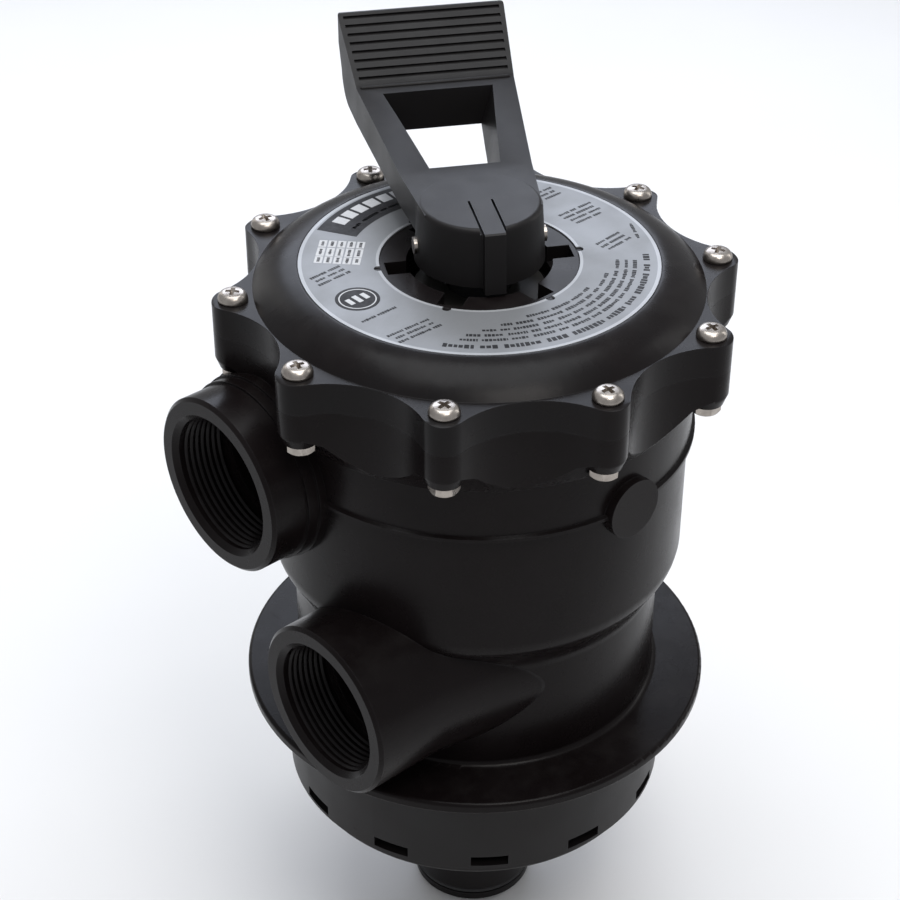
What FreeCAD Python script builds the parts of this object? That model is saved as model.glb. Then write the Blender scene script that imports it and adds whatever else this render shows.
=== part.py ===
import FreeCAD, Part
import math
import os

# Top-mount multiport valve for a pool filter, in millimetres.
# Origin: centre of the tank flange's seating face. +Z runs up the stem.
# The pump and return ports point along -X, the waste port along +X.

V = FreeCAD.Vector
UP = V(0, 0, 1)

# ---- lobed flanges and their screws
screw_count = 10
screw_circle_r = 81.0
first_screw_deg = 4.56
lobe_r = 7.0            # round tip of each lobe, about its screw
valley_r = 74.7         # lowest point between two lobes
parting_z = 150.0       # where cover and body meet
cover_flange_top_z = 161.0
body_flange_edge_z = 140.5
boss_bottom_z = 136.6
screw_hole_r = 2.7
screw_shank_r = 2.4
screw_head_r = 5.0
screw_head_h = 3.4
screw_tip_z = 132.0
nut_flats = 8.7
nut_h = 3.4
nut_pocket_r = 5.9      # room for a nut where a port runs under the flange
boss_r = 5.6

# ---- drum, neck and tank flange
drum_r = 73.0
lower_drum_r = 72.0
bead_z = 108.7
chamber_r = 67.5
chamber_floor_z = 74.0
port_plate_t = 6.0
drum_bottom_z = 62.5
neck_r = 64.8
neck_top_z = 48.5
neck_bore_r = 59.5
tank_flange_r = 83.7
tank_flange_t = 5.0
seat_inner_r = 74.6     # the flat seating ring starts here
seat_recess_z = 2.3

# ---- flow ways below the port plate
column_r = 27.0
column_bore_r = 22.8
web_t = 3.0
sector_floor_z = 9.0
sector_floor_t = 3.0
opening_in_r = 22.0
opening_out_r = 55.0

# ---- threaded ports, 1 1/2 inch taper pipe thread
port_r = 30.75
port_thread_r = 23.2
port_mouth_r = 25.0
port_thread_len = 20.0
port_bore_r = 19.5
flare_deg, flare_x = 13.0, 60.0     # how the lower ports lean out to meet the neck
flare_r, flare_lead = 30.2, 9.0
pump_y, pump_z, pump_reach = 24.0, 107.9, 93.0
return_y, return_z, return_reach = -21.3, 37.8, 88.0

# ---- cover
rim_top_z = 168.4
label_seat_z = 168.0
label_t = 0.5
label_in_r, label_out_r = 32.9, 59.3
land_z = 168.1
well_r = 24.0
well_floor_z = 156.8
slot_w, slot_out_r, slot_bottom_z = 8.0, 31.0, 162.5
first_slot_deg = -30.0
stem_bore_r = 10.05
guide_r, guide_bottom_z = 16.0, 138.0
spigot_in_r, spigot_out_r, spigot_z = 61.5, 67.1, 143.0

# ---- rotor, stem and spring
stem_r = 10.0
rotor_r = 60.0
rotor_bottom_z = 78.4
rotor_top_z = 91.0
hub_r, hub_top_z = 18.0, 95.0
stem_top_z = 181.3
stem_seal_z = (144.0, 150.0)
stem_groove_r, stem_groove_w = 8.2, 2.2
spring_wire_r, spring_mean_r, spring_turns = 1.3, 14.2, 5.5
spring_low_z, spring_high_z = 96.2, 136.2

# ---- handle
grip_deg = 60.0         # the grip's direction in the frame's XY plane
pin_z, pin_r, pin_len = 175.8, 2.75, 44.0
handle_hub_r, handle_hub_low_r = 20.3, 21.5
handle_hub_bottom_z, handle_top_z = 170.0, 190.0
heel_x, heel_z, heel_r = 14.3, 163.65, 4.0
cheek_in, cheek_out = 10.4, 14.5

# ---- diffuser, centre pipe and seals
skirt_r, skirt_wall, skirt_bottom_z = 69.5, 3.2, -46.0
window_count, first_window_deg, window_w = 12, -127.3, 13.4
window_low_z, window_high_z = -39.2, -35.0
pipe_r, pipe_bore_r, pipe_bottom_z, pipe_top_z = 22.5, 19.0, -107.0, 30.0
pipe_neck_r, pipe_step_z = 21.6, -47.5      # above the step the pipe is smaller


def save(node, shape):
    shape = shape.removeSplitter() if node not in rough_nodes else shape
    solids = shape.Solids
    out = solids[0] if len(solids) == 1 else Part.makeCompound(solids)
    out.exportStep("parts/" + node + ".step")
    print(node, len(solids), round(out.Volume, 1), out.isValid())


def pillar(r, z0, z1, x=0.0, y=0.0):
    return Part.makeCylinder(r, z1 - z0, V(x, y, z0))


def tube(r_in, r_out, z0, z1):
    return pillar(r_out, z0, z1).cut(pillar(r_in, z0 - 1, z1 + 1))


def slab(x0, x1, y0, y1, z0, z1):
    return Part.makeBox(x1 - x0, y1 - y0, z1 - z0, V(x0, y0, z0))


def turned(shape, degrees):
    copy = shape.copy()
    copy.rotate(V(0, 0, 0), UP, degrees)
    return copy


def around(count, first_deg, shape):
    return [turned(shape, first_deg + 360.0 * k / count) for k in range(count)]


# A closed face in the XZ plane. A move of two numbers is a straight run to (x, z),
# and a move of four is an arc through (xm, zm) to (x, z).
def outline(start, *moves):
    here = V(start[0], 0, start[1])
    edges = []
    for move in list(moves) + [start]:
        there = V(move[-2], 0, move[-1])
        if (there - here).Length < 1e-7:
            continue
        if len(move) == 4:
            edges.append(Part.Arc(here, V(move[0], 0, move[1]), there).toShape())
        else:
            edges.append(Part.makeLine(here, there))
        here = there
    return Part.Face(Part.Wire(edges))


def revolved(start, *moves):
    return outline(start, *moves).revolve(V(0, 0, 0), UP, 360)


# A prism of an XZ outline, centred on the XZ plane.
def across(width, start, *moves):
    face = outline(start, *moves)
    face.translate(V(0, -width / 2, 0))
    return face.extrude(V(0, width, 0))


def wedge(r_in, r_out, z0, z1, from_deg, to_deg):
    outer = Part.makeCylinder(r_out, z1 - z0, V(0, 0, z0), UP, to_deg - from_deg)
    return turned(outer.cut(pillar(r_in, z0 - 1, z1 + 1)), from_deg)


def screw_spots():
    spots = []
    for k in range(screw_count):
        a = math.radians(first_screw_deg + 360.0 * k / screw_count)
        spots.append((screw_circle_r * math.cos(a), screw_circle_r * math.sin(a)))
    return spots


def polar(r, degrees, z):
    a = math.radians(degrees)
    return V(r * math.cos(a), r * math.sin(a), z)


# The scalloped outline: a convex arc round each screw, and between two screws a
# concave arc that meets both of them smoothly.
def lobed_prism(z0, z1):
    half = 180.0 / screw_count
    c = math.cos(math.radians(half))
    k = valley_r
    hollow_r = (screw_circle_r**2 + k**2 - 2 * screw_circle_r * k * c - lobe_r**2) / (
        2 * lobe_r + 2 * screw_circle_r * c - 2 * k
    )
    hollow_centre_r = k + hollow_r
    edges = []
    for n in range(screw_count):
        deg = first_screw_deg + 2 * half * n
        centre = polar(screw_circle_r, deg, z0)
        before = polar(hollow_centre_r, deg - half, z0)
        after = polar(hollow_centre_r, deg + half, z0)
        share = lobe_r / (lobe_r + hollow_r)
        p0 = centre + (before - centre) * share
        p1 = centre + (after - centre) * share
        tip = polar(screw_circle_r + lobe_r, deg, z0)
        edges.append(Part.Arc(p0, tip, p1).toShape())
        following = polar(screw_circle_r, deg + 2 * half, z0)
        p2 = following + (after - following) * share
        edges.append(Part.Arc(p1, polar(k, deg + half, z0), p2).toShape())
    return Part.Face(Part.Wire(edges)).extrude(V(0, 0, z1 - z0))


def screw_holes(r, z0, z1):
    return [pillar(r, z0, z1, x, y) for x, y in screw_spots()]


# ---- valve body: flange, drum, neck and tank flange as one moulding
def body_outside():
    drum = revolved(
        (0, seat_recess_z), (seat_inner_r, seat_recess_z), (seat_inner_r, 0), (82.9, 0),
        (83.5, 0.2, tank_flange_r, 0.8), (tank_flange_r, 2.6), (83.2, 3.7, 82.0, 4.1),
        (67.2, tank_flange_t), (65.5, 5.6, neck_r, 7.2), (neck_r, neck_top_z - 2.5),
        (65.6, 50.2, 67.7, 54.4), (69.9, 57.2), (71.4, 60.0, lower_drum_r, drum_bottom_z + 1.5),
        (lower_drum_r, bead_z - 1.3), (74.2, bead_z - 0.6), (74.2, bead_z + 0.5),
        (drum_r, bead_z + 1.1), (drum_r, parting_z), (0, parting_z),
    )
    band = revolved((70, 127.0), (drum_r, 127.0), (80.5, 137.6), (86.0, body_flange_edge_z),
                    (90, body_flange_edge_z), (90, parting_z), (70, parting_z))
    flange = lobed_prism(120, parting_z).common(band)
    boss_h = body_flange_edge_z - boss_bottom_z
    bosses = [Part.makeCone(boss_r, lobe_r, boss_h, V(x, y, boss_bottom_z))
              for x, y in screw_spots()]
    gauge_boss = Part.makeCylinder(10.5, 8.0, V(0, -67.6, bead_z), V(0, -1, 0))
    return drum.fuse([flange, gauge_boss] + bosses)


def body_hollow():
    chamber = revolved((0, chamber_floor_z), (chamber_r, chamber_floor_z), (chamber_r, 146.4),
                       (71.9, 146.4), (71.9, parting_z + 1), (0, parting_z + 1))
    low_top = chamber_floor_z - port_plate_t
    low = revolved((0, -1), (neck_bore_r, -1), (neck_bore_r, 50.0), (65.0, 61.0),
                   (66.5, 65.5), (66.5, low_top), (0, low_top))
    return chamber.fuse(low)


# What a port takes out of the wall: the thread's bore, and the smaller bore behind it.
def port_hole(side, y, z, reach):
    out = V(side, 0, 0)
    bore = Part.makeCylinder(port_bore_r, 40.0, V(side * 40.0, y, z), out)
    thread = Part.makeCylinder(port_thread_r, 40.0, V(side * (reach - port_thread_len), y, z), out)
    return bore.fuse(thread)


def flow_ways():
    top = chamber_floor_z - port_plate_t
    column = tube(column_bore_r, column_r, sector_floor_z, top + 0.5)
    window = slab(column_bore_r - 2, column_r + 2, -9, 9, 36, 58)
    column = column.cut([turned(window, a) for a in (90, 270)])
    web = slab(column_r - 1, neck_bore_r + 0.5, -web_t / 2, web_t / 2, sector_floor_z, top + 0.5)
    middle = slab(neck_bore_r, 65.2, -web_t / 2, web_t / 2, 50.2, 60.0)
    high = slab(neck_bore_r, 66.9, -web_t / 2, web_t / 2, 57.0, top + 0.5)
    webs = around(6, 0, web.fuse([middle, high]))
    floors = [
        wedge(column_r - 0.5, neck_bore_r + 0.5, sector_floor_z, sector_floor_z + sector_floor_t,
              a, a + 60)
        for a in (0, 60, 180, 240)
    ]
    return [column] + webs + floors


def valve_body():
    body = body_outside().cut(body_hollow())
    body = body.fuse(flow_ways())
    opening = wedge(opening_in_r, opening_out_r, 60, chamber_floor_z + 2, 4.5, 55.5)
    ports = [port_hole(-1, pump_y, pump_z, pump_reach),
             port_hole(-1, return_y, return_z, return_reach),
             port_hole(1, -return_y, return_z, return_reach)]
    nut_pockets = screw_holes(nut_pocket_r, screw_tip_z - 0.5, boss_bottom_z)
    return body.cut(
        around(6, 0, opening) + ports + nut_pockets + screw_holes(screw_hole_r, 120, 160)
    )


# The outer side of a lower port leans out over its last stretch, to run into the neck.
def port_flare(side, y, z):
    lean = math.copysign(1, y)
    turn = math.radians(flare_deg)
    inward = V(-side * math.cos(turn), lean * math.sin(turn), 0)
    outward = V(side * math.sin(turn), lean * math.cos(turn), 0)
    crossing = V(side * flare_x, y + lean * port_r, z)
    start = crossing - outward * flare_r - inward * flare_lead
    return Part.makeCylinder(flare_r, flare_lead + 45.0, start, inward)


# A port socket along X: stepped rings or a flare at the root, a chamfered mouth, the
# thread's bore and the smaller bore behind it.
def port_socket(side, y, z, reach, root_shapes):
    out = V(side, 0, 0)
    root = V(side * 20.0, y, z)
    lip = 1.2
    socket = Part.makeCylinder(port_r, reach - lip - 20.0, root, out)
    tip = Part.makeCone(port_r, port_r - lip, lip, V(side * (reach - lip), y, z), out)
    socket = socket.fuse([tip] + root_shapes)
    inner = Part.makeCylinder(port_bore_r, reach, V(0, y, z), out)
    thread = Part.makeCylinder(
        port_thread_r, port_thread_len + 1, V(side * (reach - port_thread_len), y, z), out
    )
    chamfer_len = port_mouth_r - port_thread_r
    mouth = Part.makeCone(port_thread_r, port_mouth_r, chamfer_len,
                          V(side * (reach - chamfer_len), y, z), out)
    pockets = screw_holes(nut_pocket_r, screw_tip_z - 0.5, parting_z)
    socket = socket.cut([body_outside()] + pockets)
    socket = socket.cut(slab(-side * 60 - 60, -side * 60 + 60, -90, 90, -10, 160))
    socket = socket.cut([inner, thread, mouth])
    return max(socket.Solids, key=lambda piece: piece.Volume)


def pump_port():
    rings = [Part.makeCylinder(r, at - 20.0, V(-20, pump_y, pump_z), V(-1, 0, 0))
             for at, r in ((79.5, 31.6), (75.5, 32.4), (71.5, 33.2))]
    return port_socket(-1, pump_y, pump_z, pump_reach, rings)


def return_port():
    flare = port_flare(-1, return_y, return_z)
    return port_socket(-1, return_y, return_z, return_reach, [flare])


# The waste port has a side boss for the sight glass.
sight_x = 74.0
sight_bore_r = 7.6


def waste_port():
    flare = port_flare(1, -return_y, return_z)
    socket = port_socket(1, -return_y, return_z, return_reach, [flare])
    boss = Part.makeCylinder(12.0, 38.0, V(sight_x, -return_y, return_z), V(0, 1, 0))
    core = Part.makeCylinder(port_r - 1, 40.0, V(sight_x - 20, -return_y, return_z), V(1, 0, 0))
    hole = Part.makeCylinder(sight_bore_r, 60.0, V(sight_x, -return_y, return_z), V(0, 1, 0))
    seat = Part.makeCylinder(9.2, 10.0, V(sight_x, -return_y + 35.0, return_z), V(0, 1, 0))
    return socket.fuse(boss.cut([core, body_outside()])).cut([hole, seat])


def sight_glass():
    y = -return_y
    stem = Part.makeCylinder(7.3, 10.6, V(sight_x, y + 25.6, return_z), V(0, 1, 0))
    head = Part.makeCylinder(11.2, 4.2, V(sight_x, y + 38.2, return_z), V(0, 1, 0))
    neck = Part.makeCylinder(7.3, 4.0, V(sight_x, y + 35.2, return_z), V(0, 1, 0))
    grip = slab(sight_x - 1.6, sight_x + 1.6, y + 42.0, y + 46.0, return_z - 9, return_z + 9)
    return stem.fuse([head, neck, grip])


def sight_glass_ring():
    ring = Part.makeTorus(8.3, 0.85, V(sight_x, -return_y + 36.6, return_z), V(0, 1, 0))
    return ring


# ---- cover: lobed flange, domed shoulder, well for the handle and stem guide
def cover():
    shell = revolved(
        (stem_bore_r, guide_bottom_z), (guide_r, guide_bottom_z), (guide_r, 151.5),
        (29.0, 151.5), (29.0, 161.5), (55.0, 161.5), (spigot_in_r, 156.0),
        (spigot_in_r, spigot_z), (spigot_out_r, spigot_z), (spigot_out_r, parting_z),
        (74.4, parting_z), (74.4, cover_flange_top_z),
        (69.0, 165.4, 60.6, rim_top_z), (59.6, rim_top_z), (59.6, label_seat_z),
        (32.6, label_seat_z), (32.6, land_z), (well_r, land_z),
        (well_r, well_floor_z), (stem_bore_r, well_floor_z),
    )
    band = revolved((70, parting_z), (90, parting_z), (90, cover_flange_top_z - 1.2),
                    (87.2, cover_flange_top_z - 0.2), (86.0, cover_flange_top_z),
                    (70, cover_flange_top_z))
    flange = lobed_prism(parting_z, cover_flange_top_z).common(band)
    slot = slab(well_r - 3, slot_out_r, -slot_w / 2, slot_w / 2, slot_bottom_z, land_z + 1)
    slots = around(6, first_slot_deg, slot)
    return shell.fuse(flange).cut(slots + screw_holes(screw_hole_r, 140, 170))


def label_ring():
    ring = tube(label_in_r, label_out_r, label_seat_z, label_seat_z + label_t)
    notch = pillar(1.5, label_seat_z - 1, label_seat_z + 2, label_in_r + 0.6, 0)
    return ring.cut(around(6, first_slot_deg, notch))


def cover_o_ring():
    return Part.makeTorus(69.7, 1.75, V(0, 0, 148.2), UP)


# ---- screws and nuts round the flange
def cover_screws():
    z = cover_flange_top_z
    r, h = screw_head_r, screw_head_h
    head = revolved((0, z), (r - 0.2, z), (r, z + 0.5), (r - 0.5, z + 1.7, r * 0.62, z + h - 0.5),
                    (r * 0.33, z + h - 0.1, 0, z + h))
    screw = head.fuse(pillar(screw_shank_r, screw_tip_z, z + 1))
    arm = slab(-2.5, 2.5, -0.45, 0.45, z + 1.6, z + 5)
    screw = screw.cut([arm, turned(arm, 90)])
    screws = []
    for k, (x, y) in enumerate(screw_spots()):
        copy = turned(screw, 37.0 * k)
        copy.translate(V(x, y, 0))
        screws.append(copy)
    return Part.makeCompound(screws)


def hexagon(flats, z0, z1):
    r = flats / math.sqrt(3)
    points = [polar(r, 60 * k, z0) for k in range(7)]
    return Part.Face(Part.makePolygon(points)).extrude(V(0, 0, z1 - z0))


def cover_nuts():
    low, high = boss_bottom_z - nut_h, boss_bottom_z
    corner = nut_flats / math.sqrt(3)
    chamfer = revolved((0, low), (corner - 0.7, low), (corner + 0.1, low + 0.7),
                       (corner + 0.1, high), (0, high))
    nut = hexagon(nut_flats, low, high).common(chamfer)
    nut = nut.cut(pillar(screw_shank_r + 0.02, low - 1, high + 1))
    nuts = []
    for k, (x, y) in enumerate(screw_spots()):
        copy = turned(nut, 23.0 * k)
        copy.translate(V(x, y, 0))
        nuts.append(copy)
    return Part.makeCompound(nuts)


# ---- six-spoked gasket on the port plate
def spider_gasket():
    z0, z1 = chamber_floor_z, chamber_floor_z + 2.0
    ring = tube(opening_out_r, 60.0, z0, z1)
    hub = pillar(opening_in_r, z0, z1)
    spoke = slab(opening_in_r - 1, opening_out_r + 1, -2.0, 2.0, z0, z1)
    return ring.fuse([hub] + around(6, 0, spoke))


# ---- rotor: disc with one through way, two hollows beneath, and the stem
def diverter_rotor():
    rotor = revolved(
        (0, rotor_bottom_z), (rotor_r, rotor_bottom_z), (rotor_r, rotor_top_z - 2),
        (rotor_r - 2, rotor_top_z), (24.0, rotor_top_z), (hub_r, hub_top_z),
        (stem_r, hub_top_z), (stem_r, stem_top_z - 1.0), (stem_r - 1.0, stem_top_z),
        (0, stem_top_z),
    )
    z0, z1 = rotor_bottom_z - 1, rotor_top_z + 1
    way = wedge(opening_in_r, opening_out_r, z0, z1, 2.5, 57.5)
    hollow_a = wedge(opening_in_r, opening_out_r, z0, rotor_bottom_z + 8, 62.5, 177.5)
    hollow_b = wedge(opening_in_r, opening_out_r, z0, rotor_bottom_z + 8, 182.5, 357.5)
    grooves = [
        tube(stem_groove_r, stem_r + 1, z - stem_groove_w / 2, z + stem_groove_w / 2)
        for z in stem_seal_z
    ]
    pin_hole = Part.makeCylinder(pin_r + 0.05, 60, V(0, -30, pin_z), V(0, 1, 0))
    rotor = rotor.cut([way, hollow_a, hollow_b, pin_hole] + grooves)
    return turned(rotor, grip_deg)


def stem_o_rings():
    return Part.makeCompound([Part.makeTorus(9.1, 0.87, V(0, 0, z), UP) for z in stem_seal_z])


def rotor_spring():
    low = spring_low_z + spring_wire_r + 0.02
    high = spring_high_z - spring_wire_r - 0.02
    helix = Part.makeHelix((high - low) / spring_turns, high - low, spring_mean_r)
    helix.translate(V(0, 0, low))
    section = Part.Wire(Part.makeCircle(spring_wire_r, V(spring_mean_r, 0, low), V(0, 1, 0)))
    return Part.Wire(helix).makePipeShell([section], True, True)


# ---- handle, built with its grip along +X and turned to its place at the end
# Half the plate's width, a distance x out from the stem.
def plate_half(x):
    return 20.4 + (x - 5.0) * (27.9 - 20.4) / 70.0 if x < 75 else 27.9 + (x - 75.0) * 0.075


def handle_plate():
    side = across(
        70.0, (-6, handle_top_z - 0.4), (22, 190.1), (74.0, 197.2), (100.6, 213.0),
        (103.3, 213.2, 103.6, 210.6), (96.5, 194.8), (93.2, 188.0, 86.0, 184.6),
        (52.0, 181.4), (22.0, 178.6), (-6, 178.6),
    )
    edge = [V(-6, -19.2, 165)] + [V(x, -plate_half(x), 165) for x in (5, 75, 99.8)]
    corner = [V(102.7, 1.1 - plate_half(102.7), 165), V(103.8, 4.0 - plate_half(103.8), 165)]
    mirror = [V(p.x, -p.y, p.z) for p in reversed(edge + corner)]
    runs = edge[:-1], mirror[-3:]
    sides = [Part.makeLine(a, b) for run in runs for a, b in zip(run, run[1:])]
    sides += [
        Part.makeLine(edge[2], edge[3]), Part.Arc(edge[3], *corner).toShape(),
        Part.makeLine(corner[1], mirror[0]), Part.Arc(*mirror[:3]).toShape(),
        Part.makeLine(mirror[2], mirror[3]), Part.makeLine(mirror[5], edge[0]),
    ]
    plan = Part.Face(Part.Wire(Part.__sortEdges__(sides))).extrude(V(0, 0, 60))
    return side.common(plan)


# The see-through window narrows towards its underside.
def handle_window():
    def frame(z, back_x, back_y, front_x, front_y):
        points = [V(front_x, -front_y, z), V(back_x, -back_y, z), V(back_x, back_y, z),
                  V(front_x, front_y, z), V(front_x, -front_y, z)]
        return Part.makePolygon(points)

    top = frame(200.0, 70.4, 20.4, 23.4, 13.8)
    bottom = frame(174.0, 67.4, 12.4, 25.4, 8.8)
    return Part.makeLoft([bottom, top], True, True)


# Shallow grooves across the top of the grip, measured along its slope, that stop short
# of its sides.
def grip_grooves():
    slope = math.atan2(213.0 - 197.2, 100.6 - 74.0)
    grooves = []
    for k in range(8):
        along = 4.2 + 3.7 * k
        x = 74.0 + along * math.cos(slope)
        half = plate_half(x) - 1.7
        groove = slab(-0.75, 0.75, -half, half, -0.9, 2.0)
        groove.rotate(V(0, 0, 0), V(0, 1, 0), -math.degrees(slope))
        groove.translate(V(x, 0, 197.2 + along * math.sin(slope)))
        grooves.append(groove)
    return grooves


# The two cheeks reach into the cover's well. Their round heel rides on the washer and
# lifts the stem as the grip is pressed down.
def handle_cheeks():
    s = math.sqrt(0.5) * heel_r
    cheek = across(
        cheek_out * 2, (-12.0, 172), (-9.0, 166.0), (3.0, 161.9), (heel_x - 3.0, heel_z - heel_r + 0.4),
        (heel_x, heel_z - heel_r), (heel_x + s, heel_z - s, heel_x + heel_r, heel_z),
        (heel_x + heel_r, 172),
    )
    return cheek.cut(slab(-20, 25, -cheek_in, cheek_in, 150, 180))


def handle():
    hub = revolved((0, handle_hub_bottom_z), (handle_hub_low_r, handle_hub_bottom_z),
                   (handle_hub_r, handle_top_z - 1.6),
                   (handle_hub_r - 0.5, handle_top_z - 0.5, handle_hub_r - 1.7, handle_top_z),
                   (0, handle_top_z))
    pointer = across(6.8, (-15, 169.3), (-25.0, 169.3), (-23.3, handle_top_z - 0.4),
                     (-22.7, handle_top_z), (-15, handle_top_z))
    solid = handle_plate().fuse([hub, pointer, handle_cheeks()])
    cavity = slab(-14.5, 14.5, -cheek_in, cheek_in, 150, 184.2)
    beside_pointer = [slab(-24, 0, y - 0.4, y + 0.4, 188.4, 195) for y in (-3.8, 3.8)]
    pin_hole = Part.makeCylinder(pin_r + 0.02, 60, V(0, -30, pin_z), V(0, 1, 0))
    solid = solid.cut([cavity, handle_window(), pin_hole] + beside_pointer + grip_grooves())
    return turned(solid, grip_deg)


def handle_pin():
    pin = Part.makeCylinder(pin_r, pin_len, V(0, -pin_len / 2, pin_z), V(0, 1, 0))
    return turned(pin, grip_deg)


# ---- diffuser under the tank flange
def diffuser():
    inner = skirt_r - skirt_wall
    top = seat_recess_z - 0.3
    cup = revolved(
        (56.0, -2.0), (inner, -2.0), (inner, -42.5), (23.0, -42.5), (23.0, skirt_bottom_z),
        (64.5, skirt_bottom_z), (66.1, -45.5, 66.6, -44.0), (66.6, -41.6), (skirt_r, -40.4),
        (skirt_r, top), (59.2, top), (59.2, 8.0), (56.0, 8.0),
    )
    window = slab(inner - 4, skirt_r + 4, -window_w / 2, window_w / 2, window_low_z, window_high_z)
    return cup.cut(around(window_count, first_window_deg, window))


def centre_pipe():
    z = pipe_bottom_z
    return revolved(
        (pipe_bore_r, z), (pipe_r - 1.4, z), (pipe_r, z + 1.6), (pipe_r, z + 4.4),
        (20.7, z + 4.4), (20.7, z + 6.6), (pipe_r, z + 6.6), (pipe_r, pipe_step_z),
        (pipe_neck_r, pipe_step_z), (pipe_neck_r, -42.4), (25.4, -42.4), (25.4, -39.0),
        (pipe_neck_r, -39.0), (pipe_neck_r, pipe_top_z), (pipe_bore_r, pipe_top_z),
    )


def thick_washer(r_in, r_out, z0, z1, bevel=0.4):
    return revolved((r_in, z0), (r_out - bevel, z0), (r_out, z0 + bevel), (r_out, z1 - bevel),
                    (r_out - bevel, z1), (r_in, z1))


rough_nodes = ("rotor_spring", "cover_o_ring", "tank_o_ring", "stem_o_rings",
               "centre_pipe_o_ring", "sight_glass_o_ring")

nodes = {
    "valve_body": valve_body,
    "pump_port": pump_port,
    "return_port": return_port,
    "waste_port": waste_port,
    "sight_glass": sight_glass,
    "sight_glass_o_ring": sight_glass_ring,
    "cover": cover,
    "cover_label": label_ring,
    "cover_o_ring": cover_o_ring,
    "cover_screws": cover_screws,
    "cover_nuts": cover_nuts,
    "spider_gasket": spider_gasket,
    "diverter_rotor": diverter_rotor,
    "stem_o_rings": stem_o_rings,
    "rotor_spring": rotor_spring,
    "upper_spring_washer": lambda: thick_washer(10.7, 17.5, spring_high_z, 137.7),
    "lower_spring_washer": lambda: thick_washer(10.3, 17.5, hub_top_z, spring_low_z),
    "thrust_washer": lambda: thick_washer(10.6, 21.8, well_floor_z + 0.3, 159.3),
    "handle": handle,
    "handle_pin": handle_pin,
    "diffuser": diffuser,
    "tank_o_ring": lambda: Part.makeTorus(72.1, 2.15, V(0, 0, 0), UP),
    "centre_pipe": centre_pipe,
    "centre_pipe_o_ring": lambda: Part.makeTorus(21.6, 0.88, V(0, 0, pipe_bottom_z + 5.5), UP),
}

os.makedirs("parts", exist_ok=True)
for name, make in nodes.items():
    save(name, make())
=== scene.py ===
import bpy
import bmesh
import math
import random
from mathutils import Matrix, Vector


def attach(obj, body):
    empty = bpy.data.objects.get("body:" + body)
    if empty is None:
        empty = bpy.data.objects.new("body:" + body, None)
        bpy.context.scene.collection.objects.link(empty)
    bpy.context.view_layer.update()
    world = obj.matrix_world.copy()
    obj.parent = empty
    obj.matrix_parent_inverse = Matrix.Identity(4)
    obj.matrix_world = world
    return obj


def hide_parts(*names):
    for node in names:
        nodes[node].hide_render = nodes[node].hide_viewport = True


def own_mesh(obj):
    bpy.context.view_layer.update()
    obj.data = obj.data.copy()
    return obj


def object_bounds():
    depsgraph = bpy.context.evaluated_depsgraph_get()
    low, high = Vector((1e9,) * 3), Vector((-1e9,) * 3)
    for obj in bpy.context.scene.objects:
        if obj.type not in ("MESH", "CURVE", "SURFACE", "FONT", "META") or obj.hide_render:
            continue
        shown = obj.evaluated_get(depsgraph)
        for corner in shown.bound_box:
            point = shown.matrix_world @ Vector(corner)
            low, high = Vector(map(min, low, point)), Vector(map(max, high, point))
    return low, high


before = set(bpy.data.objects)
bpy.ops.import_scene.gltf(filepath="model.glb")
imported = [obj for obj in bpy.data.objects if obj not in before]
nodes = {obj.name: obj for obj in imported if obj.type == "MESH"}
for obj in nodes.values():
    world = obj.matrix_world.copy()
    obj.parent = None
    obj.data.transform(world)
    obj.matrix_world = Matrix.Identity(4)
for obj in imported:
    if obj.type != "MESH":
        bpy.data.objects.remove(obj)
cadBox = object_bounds()
scene = bpy.context.scene
mm = 0.001
print("frame loaded:", len(nodes), "CAD nodes")


# Small helpers for node materials.
def newMaterial(name):
    mat = bpy.data.materials.new(name)
    mat.use_nodes = True
    return mat, mat.node_tree, mat.node_tree.nodes["Principled BSDF"]


def addNode(tree, kind, inputs=None, **settings):
    node = tree.nodes.new(kind)
    for key, value in settings.items():
        setattr(node, key, value)
    for key, value in (inputs or {}).items():
        if isinstance(value, bpy.types.NodeSocket):
            tree.links.new(value, node.inputs[key])
        else:
            node.inputs[key].default_value = value
    return node


def objectPlace(tree, stretch=(1, 1, 1)):
    coord = addNode(tree, "ShaderNodeTexCoord")
    scaled = addNode(tree, "ShaderNodeMapping",
                     {"Vector": coord.outputs["Object"], "Scale": stretch})
    return scaled.outputs["Vector"]


def noise(tree, place, scale, detail=3.0, rough=0.55):
    node = addNode(tree, "ShaderNodeTexNoise",
                   {"Vector": place, "Scale": scale, "Detail": detail, "Roughness": rough})
    return node.outputs["Fac"]


def ramp(tree, value, low, high, outLow=0.0, outHigh=1.0):
    node = addNode(tree, "ShaderNodeMapRange",
                   {"Value": value, "From Min": low, "From Max": high, "To Min": outLow,
                    "To Max": outHigh})
    return node.outputs["Result"]


def maths(tree, operation, a, b=0.0):
    node = addNode(tree, "ShaderNodeMath", {0: a, 1: b}, operation=operation)
    return node.outputs[0]


def mixColour(tree, share, a, b):
    node = addNode(tree, "ShaderNodeMix", {"Factor": share}, data_type="RGBA")
    for socket, value in ((node.inputs[6], a), (node.inputs[7], b)):
        if isinstance(value, bpy.types.NodeSocket):
            tree.links.new(value, socket)
        else:
            socket.default_value = (*value, 1)
    return node.outputs[2]


# Adds relief to a material from a height value. The reach is in metres.
def relief(tree, bsdf, height, strength, reach):
    bump = addNode(tree, "ShaderNodeBump",
                   {"Height": height, "Strength": strength, "Distance": reach})
    tree.links.new(bump.outputs[0], bsdf.inputs["Normal"])


# How much a spot lies on an edge, from the cosine between the true normal and a rounded
# one: neither edge wear nor painted edge highlight at the first cosine, both in full at the
# second.
wearAndSheenCosines = (0.995, 0.86)


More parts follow.
